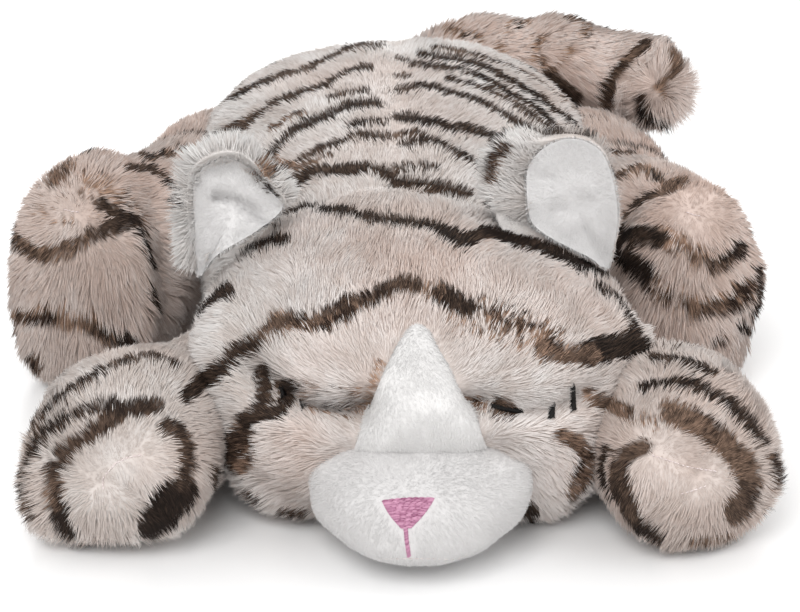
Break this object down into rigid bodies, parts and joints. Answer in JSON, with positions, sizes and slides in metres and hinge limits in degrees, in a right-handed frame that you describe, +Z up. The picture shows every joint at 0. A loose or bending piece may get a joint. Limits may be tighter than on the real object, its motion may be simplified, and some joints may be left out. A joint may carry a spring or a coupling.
{
  "type": "plush tiger",
  "caption": "White striped plush tiger lying asleep on its belly, chin on the floor, legs splayed, tail curled over one haunch.",
  "frame": {"origin": "on the floor under the middle of the belly", "axes": "+Z up, the face looks along -Y, +X is the viewer's right when the face looks at the viewer"},
  "size_m": [0.3276, 0.3847, 0.1436],
  "materials": {
    "striped_fur": "matte",
    "cream_fur": "matte",
    "white_nap": "matte",
    "pink_thread": "satin",
    "dark_thread": "satin",
    "stuffing": "matte"
  },
  "bodies": {
    "torso": {"body_back_left": "striped_fur", "body_back_right": "striped_fur", "body_belly": "cream_fur", "body_stuffing": "stuffing"},
    "head": {"head_panel_left": "striped_fur", "head_panel_right": "striped_fur", "chin_panel": "cream_fur", "head_stuffing": "stuffing", "nose_bridge": "white_nap", "muzzle_cover": "white_nap", "muzzle_stuffing": "stuffing", "nose_embroidery": "pink_thread", "mouth_stitch": "pink_thread", "eye_line_left": "dark_thread", "eye_line_right": "dark_thread", "eyelash_left_inner": "dark_thread", "eyelash_left_outer": "dark_thread", "eyelash_right_inner": "dark_thread", "eyelash_right_outer": "dark_thread"},
    "ear_left": {"ear_left_back": "striped_fur", "ear_left_lining": "white_nap"},
    "ear_right": {"ear_right_back": "striped_fur", "ear_right_lining": "white_nap"},
    "front_leg_left": {"front_leg_left_cover": "striped_fur", "front_leg_left_stuffing": "stuffing"},
    "front_leg_right": {"front_leg_right_cover": "striped_fur", "front_leg_right_stuffing": "stuffing"},
    "hind_leg_left": {"hind_leg_left_cover": "striped_fur", "hind_leg_left_stuffing": "stuffing"},
    "hind_leg_right": {"hind_leg_right_cover": "striped_fur", "hind_leg_right_stuffing": "stuffing"},
    "tail": {"tail_cover": "striped_fur", "tail_stuffing": "stuffing"}
  },
  "joints": [
    {"name": "head_lift", "type": "hinge", "parent": "torso", "child": "head", "pos_m": [0.005, -0.024, 0.092], "axis": [-1, 0, 0], "range_deg": [0, 16]},
    {"name": "front_leg_left_swing", "type": "hinge", "parent": "torso", "child": "front_leg_left", "pos_m": [-0.07, -0.044, 0.03], "axis": [0, 0, -1], "range_deg": [0, 20]},
    {"name": "front_leg_right_swing", "type": "hinge", "parent": "torso", "child": "front_leg_right", "pos_m": [0.07, -0.044, 0.03], "axis": [0, 0, 1], "range_deg": [0, 20]},
    {"name": "hind_leg_left_swing", "type": "hinge", "parent": "torso", "child": "hind_leg_left", "pos_m": [-0.082, 0.112, 0.04], "axis": [0, 0, -1], "range_deg": [0, 20]},
    {"name": "hind_leg_right_swing", "type": "hinge", "parent": "torso", "child": "hind_leg_right", "pos_m": [0.082, 0.112, 0.04], "axis": [0, 0, 1], "range_deg": [0, 20]},
    {"name": "tail_swing", "type": "hinge", "parent": "torso", "child": "tail", "pos_m": [-0.002, 0.15, 0.067], "axis": [0, 0, 1], "range_deg": [0, 40]},
    {"name": "ear_left_fold", "type": "hinge", "parent": "head", "child": "ear_left", "pos_m": [-0.06689, -0.0712, 0.0836], "axis": [1, 0, 0], "range_deg": [-12, 12], "stiffness_Nm_per_rad": 0.02},
    {"name": "ear_right_fold", "type": "hinge", "parent": "head", "child": "ear_right", "pos_m": [0.05778, -0.0712, 0.0836], "axis": [1, 0, 0], "range_deg": [-12, 12], "stiffness_Nm_per_rad": 0.02}
  ]
}
